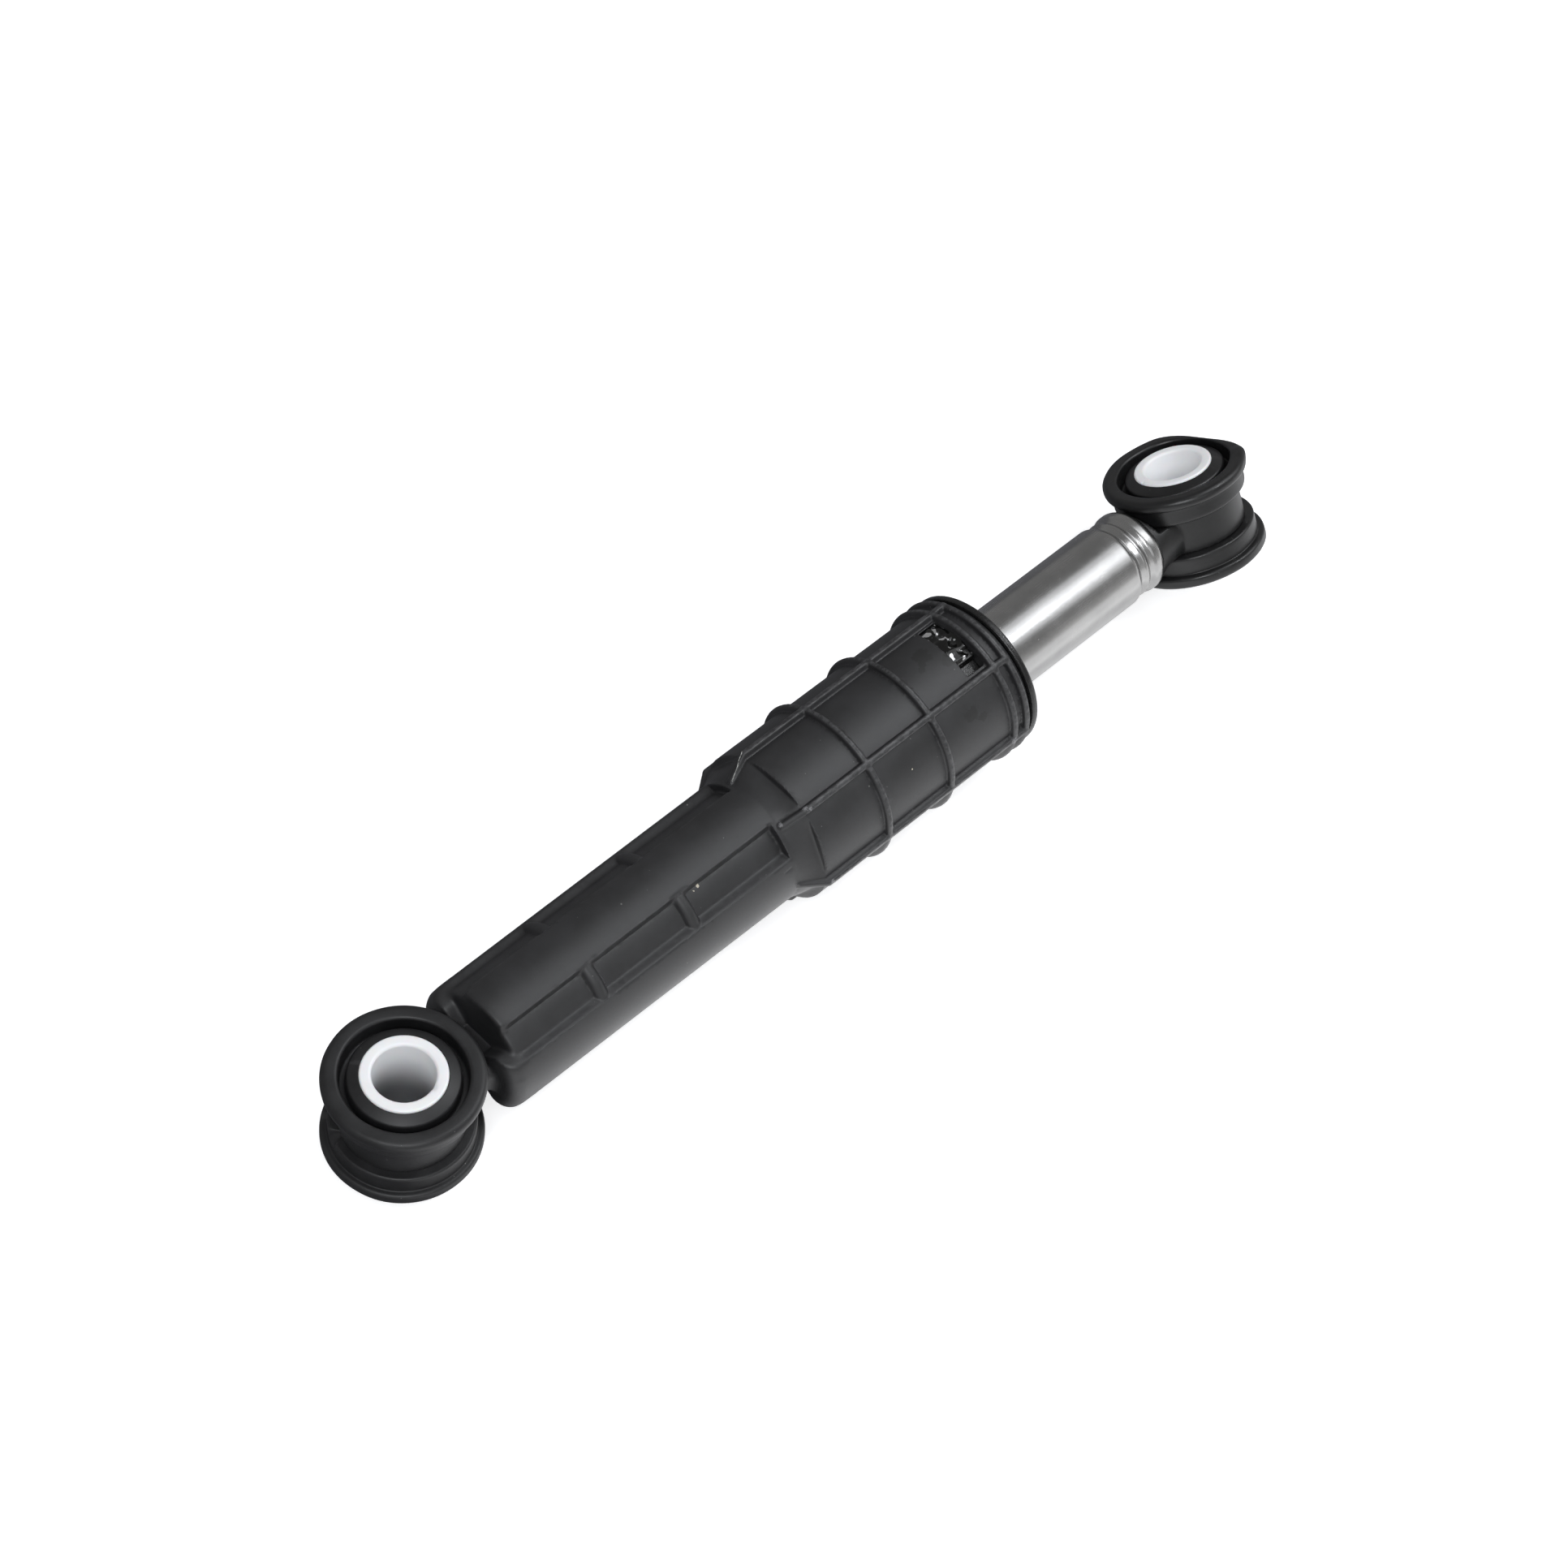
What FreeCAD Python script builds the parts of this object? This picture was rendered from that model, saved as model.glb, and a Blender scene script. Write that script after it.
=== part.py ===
"""Friction damper for a washing machine tub: plastic housing, steel rod and two rubber-bushed eyes.

Millimetres. The origin is the centre of the lower eye's bore. +X runs along the damper to the upper
eye, and +Z along the lower eye's bore.
"""
import FreeCAD, Part
import math
import os

import Sketcher

SIZES = {
    # Both eyes
    "eye_distance": 238.0,
    "eye_angle": 31.5,
    "bore_radius": 6.5,
    "sleeve_radius": 9.0,
    "sleeve_half_length": 12.0,
    "sleeve_round": 0.5,
    "press_gap": 0.02,
    "ring_bore_radius": 11.2,
    "ring_radius": 13.2,
    "ring_half_width": 4.3,
    # Rubber bushes
    "bush_half_width": 11.6,
    "flange_radius": 16.85,
    "flange_thickness": 3.0,
    "flange_round": 1.4,
    "collar_radius": 15.2,
    "collar_round": 0.8,
    "groove_radius": 13.1,
    "groove_depth": 4.2,
    "hub_radius": 11.6,
    "hub_drop": 1.2,
    "flange_clearance": 0.35,
    # Narrow tube of the housing
    "tube_end_radius": 14.6,
    "tube_shoulder_radius": 15.0,
    "tube_end_round": 3.3,
    "neck_half_width": 7.8,
    "neck_reach": 3.0,
    "neck_round": 2.6,
    "band_end": 20.6,
    "band_half_width": 5.8,
    "ledge_height": 8.0,
    "recess_half_width": 3.6,
    "recess_rim_half_width": 7.6,
    "pocket_radius": 13.0,
    "pocket_end": 96.4,
    "pocket_floor_round": 0.6,
    "band_edge_round": 0.7,
    "cross_rib_start": 43.9,
    "cross_rib_pitch": 26.1,
    "cross_rib_half_width": 1.6,
    "cross_rib_outer_radius": 14.5,
    # Wide barrel of the housing
    "shoulder": 102.8,
    "flare_start": 97.4,
    "flare_start_radius": 14.9,
    "barrel_radius": 18.0,
    "flare_drop": 1.8,
    "barrel_end": 166.2,
    "rib_height": 1.5,
    "rib_half_width": 0.8,
    "rib_round": 0.5,
    "rib_end": 164.8,
    "gusset_foot": 97.4,
    "gusset_foot_radius": 15.6,
    "ring_rib_height": 1.4,
    "ring_rib_half_width": 0.8,
    "ring_rib_first": 121.3,
    "ring_rib_second": 140.6,
    "ring_rib_third": 160.6,
    "ring_rib_last": 164.3,
    "window_start": 154.4,
    "window_end": 159.6,
    "window_half_width": 7.5,
    # Bores of the housing
    "rod_bore_start": 26.0,
    "rod_bore_radius": 10.8,
    "chamber_start": 104.5,
    "barrel_wall": 2.5,
    # Guide cap and friction lining
    "cap_rim_lip": 0.9,
    "cap_rim_thickness": 1.7,
    "cap_rim_round": 0.5,
    "cap_start": 151.5,
    "cap_counterbore_end": 157.0,
    "cap_counterbore_radius": 12.5,
    "cap_lug_depth": 0.8,
    "cap_lug_clearance": 0.2,
    "running_clearance": 0.06,
    "lining_end_clearance": 0.3,
    "lining_side_clearance": 0.08,
    # Rod
    "rod_radius": 10.0,
    "rod_wall": 1.0,
    "rod_end_round": 0.3,
    "rod_length": 136.6,
    "rod_end_gap": 17.4,
    "rolled_length": 8.2,
    "bead_flank": 1.2,
    "bead_valley_radius": 9.1,
    "bead_from_end": 5.7,
    "bead_radius": 9.6,
    "bead_round": 1.2,
    "cuff_length": 4.1,
    "cuff_valley_radius": 9.3,
    "cuff_radius": 9.95,
    "cuff_lip_length": 1.4,
    "cuff_lip_radius": 9.4,
    "swage_radius": 8.4,
    "stem_radius": 8.9,
    "stem_length": 38.0,
    "stem_gap": 0.05,
}
TUBE_START = "flange_radius + flange_clearance"
FLARE_APOTHEM = "barrel_radius - flare_drop"
RIB_RADIUS = "barrel_radius + rib_height"
RING_RIB_RADIUS = "barrel_radius + ring_rib_height"
CHAMBER_RADIUS = "barrel_radius - barrel_wall"
CAP_RIM_RADIUS = "barrel_radius + cap_rim_lip"
CAP_LUG_RADIUS = "barrel_radius - cap_lug_depth"
FULL_TURN = 360.0
RIB_COUNT = 6
NEAR = 1e-4

doc = FreeCAD.newDocument("friction_damper")
sheet = doc.addObject("Spreadsheet::Sheet", "Sizes")
for row, (alias, size) in enumerate(SIZES.items(), start=1):
    sheet.set(f"A{row}", alias)
    sheet.set(f"B{row}", str(size))
    sheet.setAlias(f"B{row}", alias)
doc.recompute()


def number(text):
    """Value of a sum such as "ring_radius + press_gap - 0.5"."""
    total = 0.0
    sign = 1.0
    for word in text.split():
        if word in "+-":
            sign = 1.0 if word == "+" else -1.0
        else:
            total += sign * (sheet.get(word) if word in SIZES else float(word))
            sign = 1.0
    return total


def formula(text):
    """The same sum as a formula on the sheet's cells."""
    return " ".join(f"Sizes.{word}" if word in SIZES else word for word in text.split())


def opposite(text):
    """The same sum with every sign turned round."""
    words = ["+"] + text.split()
    flipped = {"+": "-", "-": "+"}
    return " ".join(flipped.get(word, word) for word in words)


def signed(sign, text):
    return text if sign > 0 else opposite(text)


def new_body(name):
    body = doc.addObject("PartDesign::Body", name)
    body.Label = name
    return body


def origin_part(body, role):
    return next(item for item in body.Origin.OriginFeatures if item.Role == role)


def new_sketch(body, name, role, lift=None):
    """Sketch on an origin plane, or lifted off it by a sum of sizes."""
    sketch = body.newObject("Sketcher::SketchObject", name)
    sketch.AttachmentSupport = (origin_part(body, role), [""])
    sketch.MapMode = "FlatFace"
    if lift:
        sketch.setExpression("AttachmentOffset.Base.z", formula(lift))
    return sketch


def measure(sketch, kind, text, *geometry):
    """Dimension that follows a sum of sizes."""
    index = sketch.addConstraint(Sketcher.Constraint(kind, *geometry, number(text)))
    sketch.setExpression(f"Constraints[{index}]", formula(text))


def pin(sketch, kind, geometry, point, text):
    """Hold a point at a distance from the sketch's origin."""
    measure(sketch, kind, text, -1, 1, geometry, point)


def join(sketch, chain):
    """Close a chain of edges, each given as (edge, start point, end point)."""
    for (edge, _, end), (following, start, _) in zip(chain, chain[1:] + chain[:1]):
        sketch.addConstraint(Sketcher.Constraint("Coincident", edge, end, following, start))


def polygon(sketch, corners):
    """Closed outline whose corners are pairs of sums."""
    spots = [FreeCAD.Vector(number(across), number(up), 0) for across, up in corners]
    edges = []
    for start, end in zip(spots, spots[1:] + spots[:1]):
        edges.append(sketch.addGeometry(Part.LineSegment(start, end), False))
    join(sketch, [(edge, 1, 2) for edge in edges])
    for edge, (across, up) in zip(edges, corners):
        pin(sketch, "DistanceX", edge, 1, across)
        pin(sketch, "DistanceY", edge, 1, up)


def block(sketch, low, high):
    """Rectangle between two corners, each a pair of sums."""
    polygon(sketch, [low, (high[0], low[1]), high, (low[0], high[1])])


def disc(sketch, radius, guide=False):
    """Circle about the sketch's origin, as an outline or as a guide for other lines."""
    circle = Part.Circle(FreeCAD.Vector(0, 0, 0), FreeCAD.Vector(0, 0, 1), number(radius))
    edge = sketch.addGeometry(circle, guide)
    sketch.addConstraint(Sketcher.Constraint("Coincident", edge, 3, -1, 1))
    measure(sketch, "Radius", radius, edge)
    return edge


def half_round(sketch, centre, base, top, half_width):
    """Upright rib section with a half-round top, for a ring turned about X."""
    middle = number(centre)
    half = number(half_width)
    foot = number(base)
    shoulder_height = number(top) - half
    left_foot = FreeCAD.Vector(middle - half, foot, 0)
    left_top = FreeCAD.Vector(middle - half, shoulder_height, 0)
    right_top = FreeCAD.Vector(middle + half, shoulder_height, 0)
    right_foot = FreeCAD.Vector(middle + half, foot, 0)
    crest = Part.Circle(FreeCAD.Vector(middle, shoulder_height, 0), FreeCAD.Vector(0, 0, 1), half)
    arc = sketch.addGeometry(Part.ArcOfCircle(crest, 0, math.pi), False)
    left = sketch.addGeometry(Part.LineSegment(left_top, left_foot), False)
    floor = sketch.addGeometry(Part.LineSegment(left_foot, right_foot), False)
    right = sketch.addGeometry(Part.LineSegment(right_foot, right_top), False)
    join(sketch, [(arc, 1, 2), (left, 1, 2), (floor, 1, 2), (right, 1, 2)])
    pin(sketch, "DistanceX", arc, 3, centre)
    pin(sketch, "DistanceX", arc, 1, f"{centre} + {half_width}")
    for point in (1, 2, 3):
        pin(sketch, "DistanceY", arc, point, f"{top} - {half_width}")
    pin(sketch, "DistanceX", left, 2, f"{centre} - {half_width}")
    pin(sketch, "DistanceY", left, 2, base)
    pin(sketch, "DistanceX", right, 1, f"{centre} + {half_width}")
    pin(sketch, "DistanceY", right, 1, base)


def turned(body, name, sketch, axis, cut=False):
    """Full turn of a sketch about an origin axis, added to the body or cut from it."""
    kind = "Groove" if cut else "Revolution"
    feature = body.newObject(f"PartDesign::{kind}", name)
    feature.Profile = sketch
    feature.ReferenceAxis = (origin_part(body, axis), [""])
    feature.Angle = FULL_TURN
    doc.recompute()
    return feature


def padded(body, name, sketch, half_width):
    """Pad that grows both ways from its sketch."""
    feature = body.newObject("PartDesign::Pad", name)
    feature.Profile = sketch
    feature.SideType = "Symmetric"
    feature.setExpression("Length", formula(f"{half_width} + {half_width}"))
    doc.recompute()
    return feature


def cut_through(body, name, sketch):
    """Cut that runs right through the body both ways from its sketch."""
    feature = body.newObject("PartDesign::Pocket", name)
    feature.Profile = sketch
    feature.SideType = "Symmetric"
    feature.Type = "ThroughAll"
    doc.recompute()
    return feature


def cut_to_eye(body, name, sketch):
    """Cut from a sketch across the tube to the tube's end at the lower eye."""
    feature = body.newObject("PartDesign::Pocket", name)
    feature.Profile = sketch
    feature.Type = "ThroughAll"
    doc.recompute()
    return feature


def rounded(body, name, radius, picks):
    """Fillet on the edges of the body's last feature that a test picks."""
    base = body.Tip
    names = [f"Edge{index}" for index, edge in enumerate(base.Shape.Edges, start=1) if picks(edge)]
    feature = body.newObject("PartDesign::Fillet", name)
    feature.Base = (base, names)
    feature.setExpression("Radius", formula(radius))
    doc.recompute()
    return feature


def close(value, text):
    return abs(value - number(text)) < NEAR


def turned_edge(axis, place, radius):
    """Test for a circle about an axis: its distance along the axis and its radius are sums."""
    def picks(edge):
        curve = edge.Curve
        if not isinstance(curve, Part.Circle):
            return False
        along = getattr(curve.Center, axis)
        return close(abs(along), place) and close(curve.Radius, radius)
    return picks


def any_of(*tests):
    return lambda edge: any(test(edge) for test in tests)


def seat_at_upper_eye(body):
    """Move a piece modelled about its eye's centre to the upper eye, turned about the damper's axis."""
    body.Placement.Rotation = FreeCAD.Rotation(FreeCAD.Vector(1, 0, 0), -1.0)
    body.setExpression("Placement.Base.x", formula("eye_distance"))
    body.setExpression("Placement.Rotation.Axis.x", "1")
    body.setExpression("Placement.Rotation.Angle", formula("- eye_angle"))


def make_sleeve(name):
    """Hard sleeve that takes the machine's pin."""
    body = new_body(name)
    sketch = new_sketch(body, f"{name}_section", "XZ_Plane")
    block(sketch, ("bore_radius", "- sleeve_half_length"), ("sleeve_radius", "sleeve_half_length"))
    turned(body, f"{name}_turned", sketch, "Z_Axis")
    rims = any_of(turned_edge("z", "sleeve_half_length", "bore_radius"),
                  turned_edge("z", "sleeve_half_length", "sleeve_radius"))
    rounded(body, f"{name}_rims", "sleeve_round", rims)
    return body


def make_bush(name):
    """Rubber bobbin: a core inside the eye ring and a collared, grooved flange on each side of it."""
    body = new_body(name)
    sketch = new_sketch(body, f"{name}_section", "XZ_Plane")
    side = [
        ("ring_bore_radius - press_gap", "ring_half_width + press_gap"),
        ("collar_radius", "ring_half_width + press_gap"),
        ("collar_radius", "bush_half_width - flange_thickness"),
        ("flange_radius", "bush_half_width - flange_thickness"),
        ("flange_radius", "bush_half_width"),
        ("groove_radius", "bush_half_width"),
        ("groove_radius", "bush_half_width - groove_depth"),
        ("hub_radius", "bush_half_width - groove_depth"),
        ("hub_radius", "bush_half_width - hub_drop"),
        ("sleeve_radius + press_gap", "bush_half_width"),
    ]
    mirrored = [(radius, opposite(height)) for radius, height in reversed(side)]
    polygon(sketch, side + mirrored)
    turned(body, f"{name}_turned", sketch, "Z_Axis")
    lips = any_of(turned_edge("z", "bush_half_width", "flange_radius"),
                  turned_edge("z", "bush_half_width - flange_thickness", "flange_radius"))
    rounded(body, f"{name}_lips", "flange_round", lips)
    edges = any_of(turned_edge("z", "ring_half_width + press_gap", "collar_radius"),
                   turned_edge("z", "bush_half_width", "groove_radius"))
    rounded(body, f"{name}_edges", "collar_round", edges)
    return body


def make_housing():
    """One moulding: eye ring, neck, pocketed narrow tube and ribbed barrel with two windows."""
    body = new_body("housing")

    section = new_sketch(body, "tube_and_barrel_section", "XZ_Plane")
    polygon(section, [
        (TUBE_START, "0"),
        (TUBE_START, "tube_end_radius"),
        ("shoulder", "tube_shoulder_radius"),
        ("shoulder", "barrel_radius"),
        ("barrel_end", "barrel_radius"),
        ("barrel_end", "0"),
    ])
    turned(body, "tube_and_barrel", section, "X_Axis")
    tube_end = turned_edge("x", TUBE_START, "tube_end_radius")
    rounded(body, "tube_end_rounding", "tube_end_round", tube_end)

    add_flare(body)
    add_long_ribs(body)
    rings = new_sketch(body, "ring_rib_sections", "XZ_Plane")
    for place in ("ring_rib_first", "ring_rib_second", "ring_rib_third", "ring_rib_last"):
        half_round(rings, place, CHAMBER_RADIUS, RING_RIB_RADIUS, "ring_rib_half_width")
    turned(body, "ring_ribs", rings, "X_Axis")

    add_pockets(body)
    add_eye(body)

    bore = new_sketch(body, "bore_section", "XZ_Plane")
    polygon(bore, [
        ("rod_bore_start", "0"),
        ("rod_bore_start", "rod_bore_radius"),
        ("chamber_start", "rod_bore_radius"),
        ("chamber_start", CHAMBER_RADIUS),
        ("barrel_end", CHAMBER_RADIUS),
        ("barrel_end", "0"),
    ])
    turned(body, "bore", bore, "X_Axis", cut=True)

    windows = new_sketch(body, "window_outline", "XY_Plane")
    block(windows, ("window_start", "- window_half_width"), ("window_end", "window_half_width"))
    cut_through(body, "windows", windows)
    return body


def add_flare(body):
    """Faces between the ribs that rise from the round tube to a twelve-sided step at the shoulder."""
    half_face = math.acos(number(FLARE_APOTHEM) / number("barrel_radius"))
    angles = []
    for rib in range(RIB_COUNT):
        middle = 2 * math.pi * rib / RIB_COUNT + math.pi / 2
        angles += [middle - half_face, middle + half_face]

    round_end = new_sketch(body, "flare_round_end", "YZ_Plane", "flare_start")
    circle = Part.Circle(FreeCAD.Vector(0, 0, 0), FreeCAD.Vector(0, 0, 1), number("flare_start_radius"))
    arcs = []
    for start, end in zip(angles, angles[1:] + [angles[0] + 2 * math.pi]):
        arcs.append(round_end.addGeometry(Part.ArcOfCircle(circle, start, end), False))
    join(round_end, [(arc, 1, 2) for arc in arcs])
    for arc in arcs[:-1]:
        round_end.addConstraint(Sketcher.Constraint("Coincident", arc, 3, -1, 1))
    round_end.addConstraint(Sketcher.Constraint("Equal", arcs[0], arcs[-1]))
    measure(round_end, "Radius", "flare_start_radius", arcs[0])

    faced_end = new_sketch(body, "flare_faced_end", "YZ_Plane", "shoulder")
    radius = number("barrel_radius")
    spots = [FreeCAD.Vector(radius * math.cos(turn), radius * math.sin(turn), 0) for turn in angles]
    faces = []
    for start, end in zip(spots, spots[1:] + spots[:1]):
        faces.append(faced_end.addGeometry(Part.LineSegment(start, end), False))
    join(faced_end, [(face, 1, 2) for face in faces])
    rim = disc(faced_end, "barrel_radius", guide=True)
    for face in faces:
        faced_end.addConstraint(Sketcher.Constraint("PointOnObject", face, 1, rim))
    wide, narrow = faces[0::2], faces[1::2]
    for alike in (wide, narrow):
        for face in alike[1:]:
            faced_end.addConstraint(Sketcher.Constraint("Equal", alike[0], face))
    faced_end.addConstraint(Sketcher.Constraint("Horizontal", wide[0]))
    measure(faced_end, "Distance", FLARE_APOTHEM, -1, 1, wide[0])

    flare = body.newObject("PartDesign::AdditiveLoft", "shoulder_flare")
    flare.Profile = round_end
    flare.Sections = [faced_end]
    flare.Ruled = True
    doc.recompute()


def add_long_ribs(body):
    """Six ribs along the barrel, each with a sloping gusset down to the tube."""
    sketch = new_sketch(body, "long_rib_side", "XY_Plane")
    polygon(sketch, [
        ("gusset_foot", "pocket_radius"),
        ("gusset_foot", "gusset_foot_radius"),
        ("shoulder", RIB_RADIUS),
        ("rib_end", RIB_RADIUS),
        ("rib_end", "pocket_radius"),
    ])
    rib = padded(body, "long_rib", sketch, "rib_half_width")
    ribs = body.newObject("PartDesign::PolarPattern", "long_ribs")
    ribs.Originals = [rib]
    ribs.Axis = (origin_part(body, "X_Axis"), [""])
    ribs.Angle = FULL_TURN
    ribs.Occurrences = RIB_COUNT
    body.Tip = ribs
    doc.recompute()

    def crest(edge):
        rib_width = 2 * number("rib_half_width")
        if not isinstance(edge.Curve, Part.Line) or edge.Length < rib_width + NEAR:
            return False
        outermost = max(math.hypot(vertex.Y, vertex.Z) for vertex in edge.Vertexes)
        return outermost > number(RIB_RADIUS) - NEAR
    rounded(body, "long_rib_crests", "rib_round", crest)


def add_pockets(body):
    """Shallow pockets beside the top and bottom bands, open at the eye's end and crossed by ribs."""
    steps = new_sketch(body, "end_steps", "XZ_Plane")
    for low, high in (("ledge_height", RIB_RADIUS), (opposite(RIB_RADIUS), "- ledge_height")):
        block(steps, ("0", low), ("band_end", high))
    cut_through(body, "band_ends", steps)
    recesses = new_sketch(body, "recess_sections", "YZ_Plane", "band_end")
    for level in (1, -1):
        floor = signed(level, "ring_half_width")
        rim = signed(level, "ledge_height")
        polygon(recesses, [
            ("- recess_half_width", floor),
            ("recess_half_width", floor),
            ("recess_rim_half_width", rim),
            ("- recess_rim_half_width", rim),
        ])
    cut_to_eye(body, "recesses", recesses)

    sketch = new_sketch(body, "pocket_sections", "YZ_Plane", "pocket_end")
    for side in (1, -1):
        for level in (1, -1):
            pocket_section(sketch, side, level)
    cut_to_eye(body, "pockets", sketch)
    rounded(body, "band_edges", "band_edge_round", any_of(pocket_edge(rim=True), band_end_edge))
    rounded(body, "pocket_floors", "pocket_floor_round", pocket_edge(rim=False))

    ribs = new_sketch(body, "cross_rib_sections", "XZ_Plane")
    for place in ("cross_rib_start", "cross_rib_start + cross_rib_pitch"):
        half_round(ribs, place, "rod_bore_radius", "cross_rib_outer_radius", "cross_rib_half_width")
    turned(body, "cross_ribs", ribs, "X_Axis")


def band_end_edge(edge):
    """Test for the edges at the end of a band: the arc over it and the upright at each side."""
    ends = [vertex.Point for vertex in edge.Vertexes]
    at_end = all(close(point.x, "band_end") for point in ends)
    at_sides = all(close(abs(point.y), "band_half_width") for point in ends)
    above_floor = all(math.hypot(point.y, point.z) > number("pocket_radius") - NEAR for point in ends)
    return at_end and at_sides and above_floor


def pocket_edge(rim):
    """Test for the long edges of the pockets: those at the rim, or those round the floor."""
    def picks(edge):
        ends = [edge.Vertexes[0].Point, edge.Vertexes[-1].Point]
        if abs(ends[0].x - ends[1].x) < number("cross_rib_pitch"):
            return False
        beside_band = all(close(abs(end.y), "band_half_width") for end in ends)
        beside_ledge = all(close(abs(end.z), "ledge_height") for end in ends)
        on_floor = any(close(math.hypot(end.y, end.z), "pocket_radius") for end in ends)
        return (beside_band or beside_ledge) and on_floor != rim
    return picks


def pocket_section(sketch, side, level):
    """One pocket: a wall beside the band, a round floor and a flat ledge. The signs give its quarter."""
    floor = number("pocket_radius")
    wall = side * number("band_half_width")
    ledge = level * number("ledge_height")
    outside = number(RIB_RADIUS)
    wall_foot = FreeCAD.Vector(wall, level * math.sqrt(floor ** 2 - wall ** 2), 0)
    ledge_foot = FreeCAD.Vector(side * math.sqrt(floor ** 2 - ledge ** 2), ledge, 0)
    around = [
        ledge_foot,
        FreeCAD.Vector(side * outside, ledge, 0),
        FreeCAD.Vector(side * outside, level * outside, 0),
        FreeCAD.Vector(wall, level * outside, 0),
        wall_foot,
    ]
    outline_sums = [None, (signed(side, RIB_RADIUS), signed(level, "ledge_height")),
                    (signed(side, RIB_RADIUS), signed(level, RIB_RADIUS)),
                    (signed(side, "band_half_width"), signed(level, RIB_RADIUS))]
    if side == level:
        around.reverse()
        outline_sums = [None] + outline_sums[:0:-1]
    start_turn = math.atan2(around[-1].y, around[-1].x)
    end_turn = math.atan2(around[0].y, around[0].x)
    circle = Part.Circle(FreeCAD.Vector(0, 0, 0), FreeCAD.Vector(0, 0, 1), floor)
    arc = sketch.addGeometry(Part.ArcOfCircle(circle, start_turn, end_turn), False)
    lines = [sketch.addGeometry(Part.LineSegment(a, b), False) for a, b in zip(around, around[1:])]
    join(sketch, [(arc, 1, 2)] + [(line, 1, 2) for line in lines])
    sketch.addConstraint(Sketcher.Constraint("Coincident", arc, 3, -1, 1))
    measure(sketch, "Radius", "pocket_radius", arc)
    wall_point, ledge_point = (2, 1) if side == level else (1, 2)
    pin(sketch, "DistanceX", arc, wall_point, signed(side, "band_half_width"))
    pin(sketch, "DistanceY", arc, ledge_point, signed(level, "ledge_height"))
    for line, sums in zip(lines[1:], outline_sums[1:]):
        pin(sketch, "DistanceX", line, 1, sums[0])
        pin(sketch, "DistanceY", line, 1, sums[1])


def add_eye(body):
    """Ring of the lower eye and the neck that joins it to the tube."""
    neck = new_sketch(body, "neck_outline", "XY_Plane")
    block(neck, ("0", "- neck_half_width"), (f"{TUBE_START} + neck_reach", "neck_half_width"))
    padded(body, "neck", neck, "ring_half_width")
    rounded(body, "neck_sides", "neck_round", neck_edge)
    ring = new_sketch(body, "eye_outline", "XY_Plane")
    disc(ring, "ring_radius")
    padded(body, "eye_ring", ring, "ring_half_width")
    hole = new_sketch(body, "eye_bore_outline", "XY_Plane")
    disc(hole, "ring_bore_radius")
    cut_through(body, "eye_bore", hole)


def neck_edge(edge):
    """Test for the neck's four long edges."""
    return all(close(abs(vertex.Y), "neck_half_width") and close(abs(vertex.Z), "ring_half_width")
               for vertex in edge.Vertexes)


def make_guide_cap():
    """Flanged guide bush with two snap lugs that sit in the housing's windows."""
    body = new_body("guide_cap")
    lugs = new_sketch(body, "lug_section", "XZ_Plane")
    block(lugs, ("window_start + cap_lug_clearance", "cap_counterbore_radius"),
          ("window_end - cap_lug_clearance", CAP_LUG_RADIUS))
    turned(body, "lug_ring", lugs, "X_Axis")
    trim = new_sketch(body, "lug_trim", "XY_Plane")
    for low, high in (("window_half_width - cap_lug_clearance", CAP_RIM_RADIUS),
                      (opposite(CAP_RIM_RADIUS), "- window_half_width + cap_lug_clearance")):
        block(trim, ("cap_start", low), ("barrel_end", high))
    cut_through(body, "lug_sides", trim)

    section = new_sketch(body, "cap_section", "XZ_Plane")
    polygon(section, [
        ("cap_start", "cap_counterbore_radius"),
        ("cap_start", f"{CHAMBER_RADIUS} - press_gap"),
        ("barrel_end + press_gap", f"{CHAMBER_RADIUS} - press_gap"),
        ("barrel_end + press_gap", CAP_RIM_RADIUS),
        ("barrel_end + press_gap + cap_rim_thickness", CAP_RIM_RADIUS),
        ("barrel_end + press_gap + cap_rim_thickness", "rod_radius + running_clearance"),
        ("cap_counterbore_end", "rod_radius + running_clearance"),
        ("cap_counterbore_end", "cap_counterbore_radius"),
    ])
    turned(body, "cap_turned", section, "X_Axis")
    rim = any_of(turned_edge("x", "barrel_end + press_gap", CAP_RIM_RADIUS),
                 turned_edge("x", "barrel_end + press_gap + cap_rim_thickness", CAP_RIM_RADIUS))
    rounded(body, "cap_rim", "cap_rim_round", rim)
    return body


def make_friction_lining():
    """Grease-soaked foam ring that grips the rod, trapped between the chamber's floor and the cap."""
    body = new_body("friction_lining")
    section = new_sketch(body, "lining_section", "XZ_Plane")
    block(section, ("chamber_start + lining_end_clearance", "rod_radius + running_clearance"),
          ("cap_start - lining_end_clearance", f"{CHAMBER_RADIUS} - lining_side_clearance"))
    turned(body, "lining_turned", section, "X_Axis")
    return body


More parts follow.
